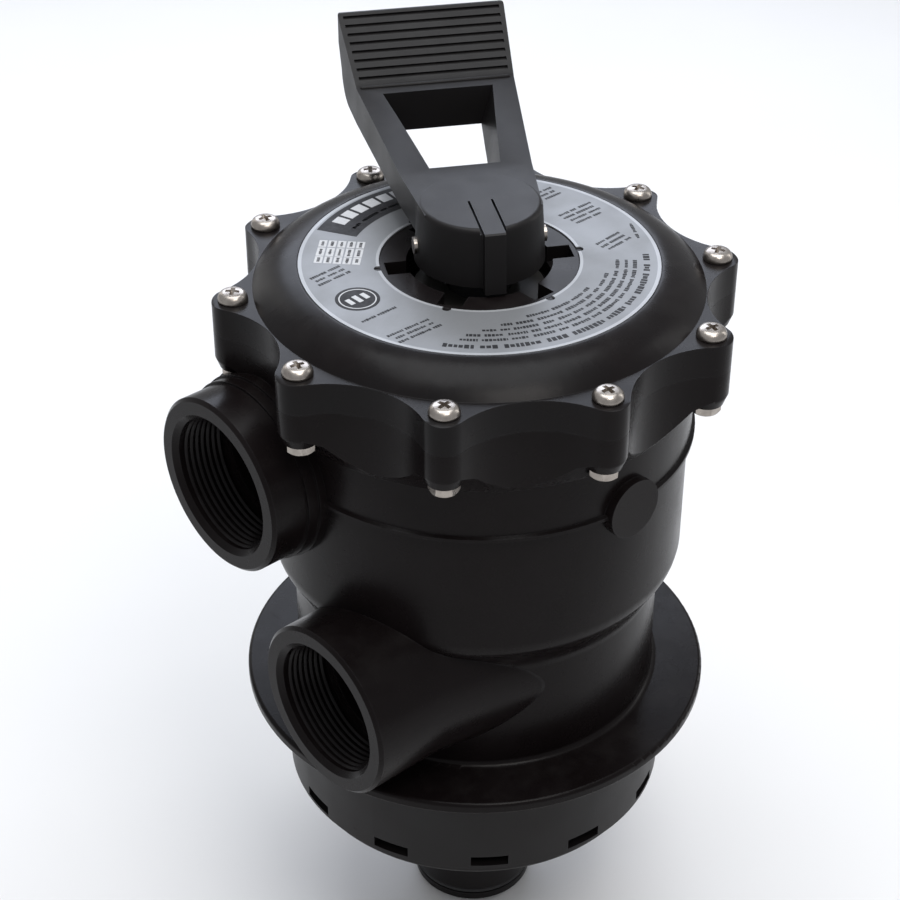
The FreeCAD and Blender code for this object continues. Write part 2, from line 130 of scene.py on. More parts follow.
def edgeWearAndSheen(tree, radius):
    rounded = addNode(tree, "ShaderNodeBevel", {"Radius": radius}, samples=4)
    flat = addNode(tree, "ShaderNodeNewGeometry")
    dot = addNode(tree, "ShaderNodeVectorMath",
                  {0: rounded.outputs[0], 1: flat.outputs["Normal"]}, operation="DOT_PRODUCT")
    return ramp(tree, dot.outputs["Value"], *wearAndSheenCosines)


# Patterns in all moulded plastic. Scales are noise cells per metre; the rest says how
# strongly each one shows.
plasticPattern = {"driftScale": 28.0, "mottleScale": 210.0, "mottleShare": 0.25,
                  "patchScale": 130.0, "dustScale": 95.0, "dustTilt": 0.55,
                  "dustColour": (0.22, 0.21, 0.20), "flowScale": 620.0, "scratchScale": 900.0,
                  "scratchRough": 0.10, "scratchDepth": 0.12, "roughScale": 60.0,
                  "edgePolish": 0.05, "bump": 0.35, "bumpReach": 0.00012}


# Moulded plastic: base colour with slow drifts, polished edges painted paler (partly wear,
# partly a painted edge highlight), fine grain, flow marks, a few handling scratches and a
# little dust on what faces up.
def mouldedPlastic(name, look, pattern=plasticPattern):
    mat, tree, bsdf = newMaterial(name)
    place = objectPlace(tree)
    drift = ramp(tree, noise(tree, place, pattern["driftScale"]), 0.35, 0.65)
    mottle = ramp(tree, noise(tree, place, pattern["mottleScale"], 5.0), 0.3, 0.7)
    colour = mixColour(tree, drift, look["colour"], look["drift"])
    mottled = maths(tree, "MULTIPLY", mottle, pattern["mottleShare"])
    colour = mixColour(tree, mottled, colour, look["drift"])
    # Edges painted paler in patches: partly wear, partly a painted edge highlight.
    wearAndSheen = edgeWearAndSheen(tree, look["edge"])
    patches = ramp(tree, noise(tree, place, pattern["patchScale"], 4.0), 0.3, 0.75)
    patchy = maths(tree, "MULTIPLY", maths(tree, "MULTIPLY", wearAndSheen, patches), look["wearAndSheen"])
    colour = mixColour(tree, patchy, colour, look["wornAndSheen"])
    normal = addNode(tree, "ShaderNodeNewGeometry").outputs["Normal"]
    facing = addNode(tree, "ShaderNodeSeparateXYZ", {0: normal}).outputs["Z"]
    specks = ramp(tree, noise(tree, place, pattern["dustScale"], 6.0), 0.45, 0.8)
    dust = maths(tree, "MULTIPLY", ramp(tree, facing, pattern["dustTilt"], 1.0), specks)
    dusty = maths(tree, "MULTIPLY", dust, look["dust"])
    colour = mixColour(tree, dusty, colour, pattern["dustColour"])
    tree.links.new(colour, bsdf.inputs["Base Color"])

    streaks = noise(tree, objectPlace(tree, (1, 1, 0.12)), pattern["flowScale"], 2.0)
    lines = noise(tree, objectPlace(tree, (1, 0.06, 0.5)), pattern["scratchScale"], 2.0)
    scratch = ramp(tree, lines, 0.70, 0.78)
    rough = ramp(tree, noise(tree, place, pattern["roughScale"], 5.0), 0.3, 0.7,
                 look["rough"] - look["vary"], look["rough"] + look["vary"])
    scuffed = maths(tree, "MULTIPLY", scratch, pattern["scratchRough"])
    rough = maths(tree, "ADD", rough, scuffed)
    rough = maths(tree, "SUBTRACT", rough, maths(tree, "MULTIPLY", wearAndSheen, pattern["edgePolish"]))
    tree.links.new(rough, bsdf.inputs["Roughness"])

    grain = noise(tree, place, look["grain"], 4.0, 0.7)
    height = maths(tree, "ADD", maths(tree, "MULTIPLY", grain, look["depth"]),
                   maths(tree, "MULTIPLY", streaks, look["flow"]))
    cuts = maths(tree, "MULTIPLY", scratch, pattern["scratchDepth"])
    height = maths(tree, "SUBTRACT", height, cuts)
    relief(tree, bsdf, height, pattern["bump"], pattern["bumpReach"])
    bsdf.inputs["Specular IOR Level"].default_value = look["shine"]
    return mat


# Shared values first, then what each black differs in.
bodyLook = {"colour": (0.0048, 0.0034, 0.0035), "drift": (0.0070, 0.0053, 0.0055),
            "wornAndSheen": (0.035, 0.035, 0.037), "wearAndSheen": 0.5, "edge": 0.0008, "rough": 0.27,
            "vary": 0.04, "grain": 1500.0, "depth": 0.30, "flow": 0.2, "dust": 0.03,
            "shine": 0.095}
coverLook = {**bodyLook, "colour": (0.0075, 0.0068, 0.0072), "rough": 0.28, "shine": 0.11}
handleLook = {**bodyLook, "colour": (0.0075, 0.0068, 0.0070),
              "drift": (0.0100, 0.0092, 0.0096), "rough": 0.40, "grain": 2200.0,
              "depth": 0.6, "flow": 0.1, "shine": 0.16, "edge": 0.0006}
skirtLook = {**bodyLook, "colour": (0.0085, 0.0078, 0.0080), "rough": 0.42, "depth": 0.5,
             "shine": 0.2}
rotorLook = {**bodyLook, "colour": (0.022, 0.022, 0.024), "drift": (0.034, 0.034, 0.036),
             "rough": 0.46, "grain": 900.0, "depth": 0.9}
# The acetal washers are painted dark grey: painted shade in the gap round the handle hub, where
# the thrust washer shows.
shadedAcetalLook = {**bodyLook, "colour": (0.030, 0.029, 0.028), "drift": (0.042, 0.040, 0.038),
              "wornAndSheen": (0.07, 0.07, 0.07), "rough": 0.38, "dust": 0.0}


screwLook = {"colour": (0.42, 0.385, 0.35), "stain": (0.30, 0.27, 0.245), "stainScale": 240.0,
             "rough": 0.30, "roughScale": 500.0, "brush": 900.0, "bump": 0.25,
             "bumpReach": 0.00004}
springLook = {**screwLook, "colour": (0.56, 0.55, 0.54), "stain": (0.44, 0.42, 0.40),
              "rough": 0.33, "brush": 1500.0}


# Stainless steel: level brushing, patches of stain and a slight warm tint.
def steel(name, look):
    mat, tree, bsdf = newMaterial(name)
    place = objectPlace(tree)
    brushed = noise(tree, objectPlace(tree, (1, 1, 14)), look["brush"], 2.0)
    stain = ramp(tree, noise(tree, place, look["stainScale"], 4.0), 0.42, 0.72)
    colour = mixColour(tree, stain, look["colour"], look["stain"])
    tree.links.new(colour, bsdf.inputs["Base Color"])
    rough = ramp(tree, noise(tree, place, look["roughScale"], 3.0), 0.3, 0.7,
                 look["rough"] - 0.06, look["rough"] + 0.08)
    tree.links.new(rough, bsdf.inputs["Roughness"])
    relief(tree, bsdf, brushed, look["bump"], look["bumpReach"])
    bsdf.inputs["Metallic"].default_value = 1.0
    return mat


rubberLook = {"colour": (0.010, 0.010, 0.0105), "bloom": (0.026, 0.026, 0.028),
              "bloomScale": 160.0, "rough": (0.55, 0.72), "roughScale": 90.0,
              "grain": 2600.0, "bump": 0.3, "bumpReach": 0.00008}


# Seal rubber: almost black, dull, with fine moulded grain and a grey bloom.
def rubber(name, look):
    mat, tree, bsdf = newMaterial(name)
    place = objectPlace(tree)
    bloom = ramp(tree, noise(tree, place, look["bloomScale"], 5.0), 0.45, 0.8)
    colour = mixColour(tree, bloom, look["colour"], look["bloom"])
    tree.links.new(colour, bsdf.inputs["Base Color"])
    rough = ramp(tree, noise(tree, place, look["roughScale"]), 0.3, 0.7, *look["rough"])
    tree.links.new(rough, bsdf.inputs["Roughness"])
    grain = noise(tree, place, look["grain"], 3.0)
    relief(tree, bsdf, grain, look["bump"], look["bumpReach"])
    return mat


clearLook = {"colour": (0.80, 0.87, 0.90), "haze": (0.70, 0.78, 0.80), "hazeScale": 120.0,
             "rough": (0.04, 0.16), "grain": 700.0, "bump": 0.06, "bumpReach": 0.00006,
             "transmission": 0.85, "ior": 1.49}


# Clear moulded plastic with a faint haze and fine unevenness.
def clearPlastic(name, look):
    mat, tree, bsdf = newMaterial(name)
    place = objectPlace(tree)
    haze = ramp(tree, noise(tree, place, look["hazeScale"], 4.0), 0.35, 0.75)
    colour = mixColour(tree, haze, look["colour"], look["haze"])
    tree.links.new(colour, bsdf.inputs["Base Color"])
    rough = ramp(tree, haze, 0.0, 1.0, *look["rough"])
    tree.links.new(rough, bsdf.inputs["Roughness"])
    grain = noise(tree, place, look["grain"], 2.0)
    relief(tree, bsdf, grain, look["bump"], look["bumpReach"])
    bsdf.inputs["Transmission Weight"].default_value = look["transmission"]
    bsdf.inputs["IOR"].default_value = look["ior"]
    return mat


labelLook = {"foil": (0.190, 0.198, 0.208), "shade": (0.165, 0.172, 0.182),
             "border": (0.34, 0.35, 0.365), "innerBorder": 33.9, "outerBorder": 58.1,
             "smudgeScale": 45.0, "rolledScale": 320.0, "rolledShare": 0.25, "rough": 0.46,
             "bump": 0.12, "bumpReach": 0.00003, "metal": 0.35}


# Silver label foil: satin metal with very fine rolled lines, a paler border ring at both
# rims, and faint smudges. The border radii are in millimetres.
def labelFoil(name, look):
    mat, tree, bsdf = newMaterial(name)
    place = objectPlace(tree)
    xyz = addNode(tree, "ShaderNodeSeparateXYZ", {0: place})
    flat = addNode(tree, "ShaderNodeCombineXYZ", {0: xyz.outputs[0], 1: xyz.outputs[1]})
    length = addNode(tree, "ShaderNodeVectorMath", {0: flat.outputs[0]}, operation="LENGTH")
    radius = length.outputs["Value"]
    outer = maths(tree, "GREATER_THAN", radius, look["outerBorder"] * mm)
    inner = maths(tree, "LESS_THAN", radius, look["innerBorder"] * mm)
    border = maths(tree, "ADD", outer, inner)
    smudge = ramp(tree, noise(tree, place, look["smudgeScale"], 5.0), 0.35, 0.7)
    rolled = noise(tree, objectPlace(tree, (1, 30, 1)), look["rolledScale"], 3.0)
    colour = mixColour(tree, smudge, look["foil"], look["shade"])
    lines = maths(tree, "MULTIPLY", rolled, look["rolledShare"])
    colour = mixColour(tree, lines, colour, look["border"])
    colour = mixColour(tree, border, colour, look["border"])
    tree.links.new(colour, bsdf.inputs["Base Color"])
    rough = ramp(tree, smudge, 0, 1, look["rough"] - 0.05, look["rough"] + 0.08)
    tree.links.new(rough, bsdf.inputs["Roughness"])
    relief(tree, bsdf, rolled, look["bump"], look["bumpReach"])
    bsdf.inputs["Metallic"].default_value = look["metal"]
    return mat


blackInkLook = {"colour": (0.012, 0.012, 0.014), "thin": (0.024, 0.024, 0.027),
                "patchScale": 900.0, "rough": (0.42, 0.58), "roughScale": 300.0, "shine": 0.2}
paleInkLook = {**blackInkLook, "colour": (0.52, 0.53, 0.55), "thin": (0.45, 0.46, 0.48)}


# Printed ink, slightly uneven where it lies thin.
def printInk(name, look):
    mat, tree, bsdf = newMaterial(name)
    place = objectPlace(tree)
    patchy = ramp(tree, noise(tree, place, look["patchScale"], 4.0), 0.42, 0.75)
    colour = mixColour(tree, patchy, look["colour"], look["thin"])
    tree.links.new(colour, bsdf.inputs["Base Color"])
    rough = ramp(tree, noise(tree, place, look["roughScale"]), 0.3, 0.7, *look["rough"])
    tree.links.new(rough, bsdf.inputs["Roughness"])
    bsdf.inputs["Specular IOR Level"].default_value = look["shine"]
    return mat


bodyBlack = mouldedPlastic("bodyBlack", bodyLook)
coverBlack = mouldedPlastic("coverBlack", coverLook)
handleBlack = mouldedPlastic("handleBlack", handleLook)
skirtBlack = mouldedPlastic("skirtBlack", skirtLook)
rotorGrey = mouldedPlastic("rotorGrey", rotorLook)
shadedAcetal = mouldedPlastic("shadedAcetal", shadedAcetalLook)
screwSteel = steel("screwSteel", screwLook)
springSteel = steel("springSteel", springLook)
sealRubber = rubber("sealRubber", rubberLook)
sightClear = clearPlastic("sightClear", clearLook)
foil = labelFoil("labelFoil", labelLook)
inkBlack = printInk("inkBlack", blackInkLook)
inkPale = printInk("inkPale", paleInkLook)
print("materials made")


# The finish of each CAD node, and how far its edges are softened in millimetres.
nodeFinish = {
    "valve_body": (bodyBlack, 0.7), "pump_port": (bodyBlack, 0.6),
    "return_port": (bodyBlack, 0.6), "waste_port": (bodyBlack, 0.6),
    "cover": (coverBlack, 0.7), "handle": (handleBlack, 0.6),
    "diffuser": (skirtBlack, 0.4), "centre_pipe": (skirtBlack, 0.4),
    "diverter_rotor": (rotorGrey, 0.4), "thrust_washer": (shadedAcetal, 0),
    "upper_spring_washer": (shadedAcetal, 0), "lower_spring_washer": (shadedAcetal, 0),
    "spider_gasket": (sealRubber, 0.2), "stem_o_rings": (sealRubber, 0),
    "cover_o_ring": (sealRubber, 0), "tank_o_ring": (sealRubber, 0),
    "centre_pipe_o_ring": (sealRubber, 0), "sight_glass_o_ring": (sealRubber, 0),
    "sight_glass": (sightClear, 0.4), "cover_label": (foil, 0),
    "cover_nuts": (screwSteel, 0.15), "handle_pin": (screwSteel, 0.35),
    "cover_screws": (screwSteel, 0), "rotor_spring": (springSteel, 0),
}
edgeSet = {"weld": 0.01, "segments": 3, "cornerDeg": 28}


def softenEdges(node, widthMm, s=edgeSet):
    weld = node.modifiers.new("weld", "WELD")
    weld.merge_threshold = s["weld"] * mm
    bevel = node.modifiers.new("bevel", "BEVEL")
    bevel.width = widthMm * mm
    bevel.segments = s["segments"]
    bevel.limit_method = "ANGLE"
    bevel.angle_limit = math.radians(s["cornerDeg"])
    node.modifiers.new("weighted", "WEIGHTED_NORMAL")


for name, (finish, softness) in nodeFinish.items():
    node = nodes[name]
    node.data.materials.clear()
    node.data.materials.append(finish)
    if softness:
        softenEdges(node, softness)
print("CAD nodes finished")


# Turns a bmesh into a finished piece that rides a body and fills a material slot. Edges
# sharper than smoothDeg stay crisp.
def meshPiece(name, bm, material, body, smoothDeg=35):
    bmesh.ops.recalc_face_normals(bm, faces=bm.faces)
    mesh = bpy.data.meshes.new(name)
    bm.to_mesh(mesh)
    bm.free()
    mesh.materials.append(material)
    piece = bpy.data.objects.new(name, mesh)
    scene.collection.objects.link(piece)
    mesh.shade_smooth()
    mesh.set_sharp_from_angle(angle=math.radians(smoothDeg))
    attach(piece, body)
    return piece


def polar(radius, degrees, z):
    a = math.radians(degrees)
    return Vector((radius * math.cos(a), radius * math.sin(a), z))


# Joins rings of points in order. A closed tube has no ends; an open one gets a cap at
# each end.
def skinRings(bm, rings, closed=False):
    made = [[bm.verts.new(p) for p in ring] for ring in rings]
    pairs = list(zip(made, made[1:])) + ([(made[-1], made[0])] if closed else [])
    for a, b in pairs:
        for i in range(len(a)):
            j = (i + 1) % len(a)
            bm.faces.new((a[i], a[j], b[j], b[i]))
    if not closed:
        bm.faces.new(made[0])
        bm.faces.new(list(reversed(made[-1])))


# Cover screws: pan heads with a cross recess, and threaded ends below the nuts. Lengths
# are in millimetres.
screwSet = {"count": 10, "circle": 81.0, "firstDeg": 4.56, "sides": 48, "seat": 161.0,
            "lift": 0.02, "headR": 5.0, "headH": 3.4, "rimUnder": 0.35, "rimR": 0.08,
            "rimLow": 0.15, "rimHigh": 0.45, "shoulderR": 2.3, "shoulderDrop": 0.75,
            "crown": ((3.0, 0.16), (4.0, 0.04)), "centreR": 0.35, "shankR": 2.38,
            "tip": 132.0, "tipShare": 0.75, "tipH": 0.2, "threadFrom": 133.1,
            "threadPitch": 0.5, "threadDepth": 0.22, "recess": 2.5, "recessR": 2.5,
            "armW": 1.5, "recessOver": 0.4, "floorLen": 0.7, "floorWide": 0.28,
            "flareLen": 0.25, "flareWide": 0.06}


def roundRing(radius, z, sides):
    return [polar(radius * mm, 360 * k / sides, z * mm) for k in range(sides)]


def screwProfile(s):
    z, r, h = s["seat"], s["headR"], s["headH"]
    points = [(s["shankR"] * s["tipShare"], s["tip"])]
    level = s["tip"] + s["tipH"]
    while level < s["threadFrom"]:
        points += [(s["shankR"] - s["threadDepth"], level),
                   (s["shankR"], level + s["threadPitch"] / 2)]
        level += s["threadPitch"]
    points += [(s["shankR"], z + s["lift"]), (r - s["rimUnder"], z + s["lift"]),
               (r - s["rimR"], z + s["rimLow"]), (r, z + s["rimHigh"])]
    round0 = s["shoulderR"]
    for k in range(1, 10):                      # rounded shoulder up to a gently domed top
        a = math.radians(90 * k / 10)
        points.append((r - round0 + round0 * math.cos(a),
                       z + s["rimHigh"] + (h - s["shoulderDrop"]) * math.sin(a)))
    points += [(r - inset, z + h - drop) for inset, drop in s["crown"]]
    return points + [(s["centreR"], z + h)]


# The cross recess: two arms at right angles, wide at the top and narrow at the floor.
def recessCutter(s):
    bm = bmesh.new()
    headTop = s["seat"] + s["headH"]
    levels = ((headTop - s["recess"], s["floorLen"], s["floorWide"]),
              (headTop + s["recessOver"], s["recessR"] + s["flareLen"],
               s["armW"] / 2 + s["flareWide"]))
    for turn in (0, 90):
        spin = Matrix.Rotation(math.radians(turn), 3, "Z")
        outline = []
        for z, halfLen, halfWide in levels:
            outline.append([spin @ Vector((x * halfLen * mm, y * halfWide * mm, z * mm))
                            for x, y in ((-1, -1), (1, -1), (1, 1), (-1, 1))])
        skinRings(bm, outline)
    mesh = bpy.data.meshes.new("recessCutter")
    bmesh.ops.recalc_face_normals(bm, faces=bm.faces)
    bm.to_mesh(mesh)
    bm.free()
    return bpy.data.objects.new("recessCutter", mesh)


# Cuts one object out of another and hands back the mesh. Both objects are used up.
def bakedMesh(source, cutter):
    scene.collection.objects.link(source)
    scene.collection.objects.link(cutter)
    cut = source.modifiers.new("cut", "BOOLEAN")
    cut.operation = "DIFFERENCE"
    cut.solver = "EXACT"
    cut.use_self = True
    cut.object = cutter
    bpy.context.view_layer.update()
    ready = source.evaluated_get(bpy.context.evaluated_depsgraph_get())
    mesh = bpy.data.meshes.new_from_object(ready)
    bpy.data.objects.remove(source)
    bpy.data.objects.remove(cutter)
    return mesh


def coverScrews(s):
    bm = bmesh.new()
    skinRings(bm, [roundRing(r, z, s["sides"]) for r, z in screwProfile(s)])
    bmesh.ops.recalc_face_normals(bm, faces=bm.faces)
    blank = bpy.data.meshes.new("screwBlank")
    bm.to_mesh(blank)
    bm.free()
    oneScrew = bakedMesh(bpy.data.objects.new("screwBlank", blank), recessCutter(s))
    dice = random.Random(5)
    bm = bmesh.new()
    for k in range(s["count"]):
        copy = oneScrew.copy()
        spot = polar(s["circle"] * mm, s["firstDeg"] + 360 * k / s["count"], 0)
        spin = Matrix.Rotation(dice.uniform(0, math.pi), 4, "Z")
        copy.transform(Matrix.Translation(spot) @ spin)
        bm.from_mesh(copy)
        bpy.data.meshes.remove(copy)
    piece = meshPiece("coverScrews", bm, screwSteel, "valve", 40)
    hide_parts("cover_screws")


coverScrews(screwSet)
print("screws made")


# Rotor spring: an even coil of round wire. The real spring is squeezed as the stem lifts; this
# coil is built at one length.
springSet = {"low": 96.2, "high": 136.2, "clearance": 0.02, "meanR": 14.2, "wireR": 1.3,
             "turns": 5.5, "wireSides": 14, "stepsPerTurn": 40}


def rotorSpring(s):
    first = s["low"] + s["wireR"] + s["clearance"]
    last = s["high"] - s["wireR"] - s["clearance"]
    steps = int(s["turns"] * s["stepsPerTurn"])
    bm = bmesh.new()
    rings = []
    for k in range(steps + 1):
        a = 2 * math.pi * s["turns"] * k / steps
        z = first + (last - first) * k / steps
        out = Vector((math.cos(a), math.sin(a), 0))
        centre = out * s["meanR"] * mm + Vector((0, 0, z * mm))
        ring = []
        for w in range(s["wireSides"]):
            b = 2 * math.pi * w / s["wireSides"]
            across, up = s["wireR"] * mm * math.cos(b), s["wireR"] * mm * math.sin(b)
            ring.append(centre + out * across + Vector((0, 0, up)))
        rings.append(ring)
    skinRings(bm, rings)
    piece = meshPiece("rotorSpring", bm, springSteel, "valve", 50)
    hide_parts("rotor_spring")
    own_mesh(piece)


rotorSpring(springSet)


# Low bead across the bend of the handle, where the grip begins. It thins out at its
# ends: shares of the half length, then of the radius.
beadSet = {"gripDeg": 60.0, "x": 74.4, "z": 197.15, "half": 26.6, "radius": 0.75, "sides": 12,
           "taper": ((-1, 0.3), (-0.985, 0.8), (-0.97, 1), (0.97, 1), (0.985, 0.8), (1, 0.3))}


def handleBead(s):
    turn = Matrix.Rotation(math.radians(s["gripDeg"]), 3, "Z")
    rings = []
    for y, scale in s["taper"]:
        ring = []
        for k in range(s["sides"]):
            a = 2 * math.pi * k / s["sides"]
            x = s["x"] + s["radius"] * scale * math.cos(a)
            z = s["z"] + s["radius"] * scale * math.sin(a)
            ring.append(turn @ Vector((x, y * s["half"], z)) * mm)
        rings.append(ring)
    bm = bmesh.new()
    skinRings(bm, rings)
    meshPiece("handleBead", bm, handleBlack, "lever", 60)


handleBead(beadSet)


# Pipe threads in the three ports: a ridge that winds inward from the mouth. The ridge's
# section is given as places along the bore and heights, where 1 is the full depth.
threadSet = {"pitch": 2.209, "boreR": 23.24, "depth": 0.6, "turns": 7.6, "stepsPerTurn": 72,
             "startIn": 2.6, "fadeSteps": 20, "thinEnd": 0.02, "rootDepth": 0.12,
             "ridge": ((-0.95, -0.12), (-0.16, 1.0), (0.16, 1.0), (0.95, -0.12))}
ports = [
    {"name": "pumpPortThread", "side": -1, "y": 24.0, "z": 107.9, "reach": 93.0},
    {"name": "returnPortThread", "side": -1, "y": -21.3, "z": 37.8, "reach": 88.0},
    {"name": "wastePortThread", "side": 1, "y": 21.3, "z": 37.8, "reach": 88.0},
]


def portThread(port, t):
    steps = int(t["turns"] * t["stepsPerTurn"])
    rings = []
    for k in range(steps + 1):
        a = 2 * math.pi * k / t["stepsPerTurn"]
        along = t["startIn"] + t["pitch"] * a / (2 * math.pi)
        # the ridge runs out at both ends
        fade = min(1.0, k / t["fadeSteps"], (steps - k) / t["fadeSteps"] + t["thinEnd"])
        ring = []
        for shift, inward in t["ridge"]:
            raised = t["depth"] * fade * max(inward, 0)
            r = t["boreR"] - raised - t["rootDepth"] * min(inward, 0)
            x = port["side"] * (port["reach"] - along - shift)
            spot = Vector((x, port["y"] + r * math.cos(a), port["z"] + r * math.sin(a)))
            ring.append(spot * mm)
        rings.append(ring)
    bm = bmesh.new()
    skinRings(bm, rings)
    meshPiece(port["name"], bm, bodyBlack, "valve", 25)


for port in ports:
    portThread(port, threadSet)
print("spring and threads made")


# Label print: plain marks where wording would be, a round badge, a table and a dark arc
# band. Heights, radii and places are in millimetres.
printSet = {"base": 168.49, "top": 168.54, "stepDeg": 1.5}


# The four corners of a printed strip's section, from its inner to its outer edge.
def stripCorners(inner, outer, top):
    base = printSet["base"]
    return (inner, base), (outer, base), (outer, top), (inner, top)


def printArc(bm, rIn, rOut, fromDeg, toDeg, top=printSet["top"]):
    count = max(2, math.ceil(abs(toDeg - fromDeg) / printSet["stepDeg"]) + 1)
    rings = []
    for k in range(count):
        a = fromDeg + (toDeg - fromDeg) * k / (count - 1)
        rings.append([polar(r * mm, a, z * mm) for r, z in stripCorners(rIn, rOut, top)])
    skinRings(bm, rings)


def printRing(bm, centre, rIn, rOut, top=printSet["top"], sides=48):
    rings = []
    for k in range(sides):
        a = 360 * k / sides
        rings.append([centre + polar(r * mm, a, z * mm)
                      for r, z in stripCorners(rIn, rOut, top)])
    skinRings(bm, rings, closed=True)


def printBar(bm, centre, length, width, turnDeg, top=printSet["top"]):
    spin = Matrix.Rotation(math.radians(turnDeg), 3, "Z")
    rings = []
    for x in (-length / 2, length / 2):
        rings.append([(Vector((*centre, 0)) + spin @ Vector((x, y, z))) * mm
                      for y, z in stripCorners(-width / 2, width / 2, top)])
    skinRings(bm, rings)


# Widths and gaps of the marks, in shares of their height.
markSet = {"wide": (0.45, 0.8), "tall": (1.0, 1.0, 0.72), "gap": 0.2, "leftOver": 0.3,
           "arcWord": (2.2, 7.5), "arcSpace": 0.9, "blockWord": (2.5, 7.0),
           "blockSpace": 0.8, "lineShare": (0.72, 1.0)}


# A word of small upright marks instead of letters, laid out by a function that places
# each mark.
def markWord(dice, length, height, place):
    x = 0.0
    while x < length - markSet["leftOver"] * height:
        wide = min(height * dice.uniform(*markSet["wide"]), length - x)
        tall = height * dice.choice(markSet["tall"])
        place(x + wide / 2, wide, tall)
        x += wide + height * markSet["gap"]


# A line of words that follows the label's ring.
def arcLine(bm, dice, radius, height, fromDeg, toDeg):
    total = math.radians(toDeg - fromDeg) * radius
    start = 0.0
    while start < total - height:
        length = min(dice.uniform(*markSet["arcWord"]) * height, total - start)

        def place(x, wide, tall, base=start):
            a = fromDeg + math.degrees((base + x) / radius)
            half = math.degrees(wide / 2 / radius)
            printArc(bm, radius - tall / 2, radius + tall / 2, a - half, a + half)

        markWord(dice, length, height, place)
        start += length + markSet["arcSpace"] * height


# A short block of level lines of marks centred on a spot.
def wordBlock(bm, dice, centre, turnDeg, lines, width, height=1.15, gap=2.5,
              top=printSet["top"]):
    spin = Matrix.Rotation(math.radians(turnDeg), 2)
    for n in range(lines):
        reach = width * dice.uniform(*markSet["lineShare"])
        start = -reach / 2
        while start < reach / 2 - height:
            length = min(dice.uniform(*markSet["blockWord"]) * height, reach / 2 - start)

            def place(x, wide, tall, base=start, row=n):
                across = Vector((base + x, ((lines - 1) / 2 - row) * gap))
                printBar(bm, Vector(centre) + spin @ across, wide, tall, turnDeg, top)

            markWord(dice, length, height, place)
            start += length + markSet["blockSpace"] * height


# Band: inner and outer radius, from and to degrees. Arc lines: radius, height, from and
# to degrees. Blocks: centre, turn, lines and width. Bars: place across and length. Pale
# blocks: inner and outer radius. Table columns: place, cell width and width of the marks.
labelSet = {
    "second": 0.03, "band": (43.2, 57.4, 52, 119),
    "arcLines": ((54.6, 2.1, 216, 322), (50.7, 1.35, 221, 318), (47.9, 1.35, 223, 320),
                 (45.0, 1.35, 229, 318), (42.1, 1.35, 237, 307), (39.2, 1.3, 250, 291)),
    "blocks": (((-43.6, 23.6), 2, 3, 14.0), ((-45.0, -20.2), -2, 3, 19.0),
               ((-46.6, -5.6), 0, 1, 17.0), ((47.4, 0.2), 0, 4, 18.0),
               ((41.6, -20.4), 5, 3, 13.0), ((46.0, 18.2), 0, 3, 13.0),
               ((52.0, -19.4), 60, 1, 12.0)),
    "badge": (-46.4, 6.2), "badgeR": 7.2, "badgeHole": 0.02, "badgeRing": (5.7, 6.1),
    "bars": ((-3.0, 3.6), (0.0, 4.4), (3.0, 3.6)), "barWide": 1.7,
    "paleR": (50.3, 55.2), "paleDeg": (112.0, 56), "paleWide": (3.8, 5.2), "paleGap": 1.3,
    "bandLine": (46.4, 1.3, 62, 113),
    "tableDeg": 133.5, "tableR": 46.0, "rows": 5, "rowStep": 3.15, "cellTall": 2.6,
    "columns": ((-5.2, 4.4, 3.6), (0.3, 5.6, 4.6), (5.6, 4.4, 3.6)), "tableMark": 1.0,
}


def tableSpot(s, column, row):
    outward, sideways = polar(1, s["tableDeg"], 0), polar(1, s["tableDeg"] + 90, 0)
    out = s["tableR"] + (row - 2) * s["rowStep"]
    return (outward * out + sideways * column)[:2]


def labelPrint(s):
    dice = random.Random(11)
    high = printSet["top"] + s["second"]        # what is printed on top of other print
    bm = bmesh.new()
    printArc(bm, *s["band"])
    for line in s["arcLines"]:
        arcLine(bm, dice, *line)
    for block in s["blocks"]:
        wordBlock(bm, dice, *block)
    badgeX, badgeY = s["badge"]
    badge = Vector((badgeX * mm, badgeY * mm, 0))
    printRing(bm, badge, s["badgeHole"], s["badgeR"])
    meshPiece("labelPrint", bm, inkBlack, "valve", 30)

    bm = bmesh.new()
    printRing(bm, badge, *s["badgeRing"], high)
    for x, tall in s["bars"]:
        printBar(bm, (badge.x / mm + x, badge.y / mm), s["barWide"], tall, 0, high)
    a, lastDeg = s["paleDeg"]
    while a > lastDeg:
        wide = dice.uniform(*s["paleWide"])
        printArc(bm, *s["paleR"], a - wide, a, high)
        a -= wide + s["paleGap"]
    arcLine(bm, dice, *s["bandLine"])
    meshPiece("labelPrintPale", bm, inkPale, "valve", 30)

    turn = s["tableDeg"] + 90
    bm = bmesh.new()
    for column, wide, _ in s["columns"]:
        for row in range(s["rows"]):
            printBar(bm, tableSpot(s, column, row), wide, s["cellTall"], turn)
    meshPiece("labelTable", bm, inkPale, "valve", 30)
    bm = bmesh.new()
    for column, _, wide in s["columns"]:
        for row in range(s["rows"]):
            wordBlock(bm, dice, tableSpot(s, column, row), turn, 1, wide, s["tableMark"],
                      1.0, high)
    meshPiece("labelTableMarks", bm, inkBlack, "valve", 30)


labelPrint(labelSet)
print("label printed")


# Camera: place in metres, and the directions to its right and ahead of it.
cameraSet = {"place": (-0.40926, -0.44819, 0.51218), "right": (0.7500, -0.6615, 0.0026),
             "forward": (0.5451, 0.6159, -0.5689), "lens": 85.04, "sensor": 36.0}


def addCamera(s):
    data = bpy.data.cameras.new("camera")
    data.lens = s["lens"]
    data.sensor_width = s["sensor"]
    data.dof.use_dof = False
    camera = bpy.data.objects.new("camera", data)
    scene.collection.objects.link(camera)
    forward = Vector(s["forward"]).normalized()
    up = Vector(s["right"]).cross(forward).normalized()
    right = forward.cross(up)
    turn = Matrix((right, up, -forward)).transposed().to_4x4()
    camera.matrix_world = Matrix.Translation(Vector(s["place"])) @ turn
    scene.camera = camera
    return right, forward


viewRight, viewForward = addCamera(cameraSet)


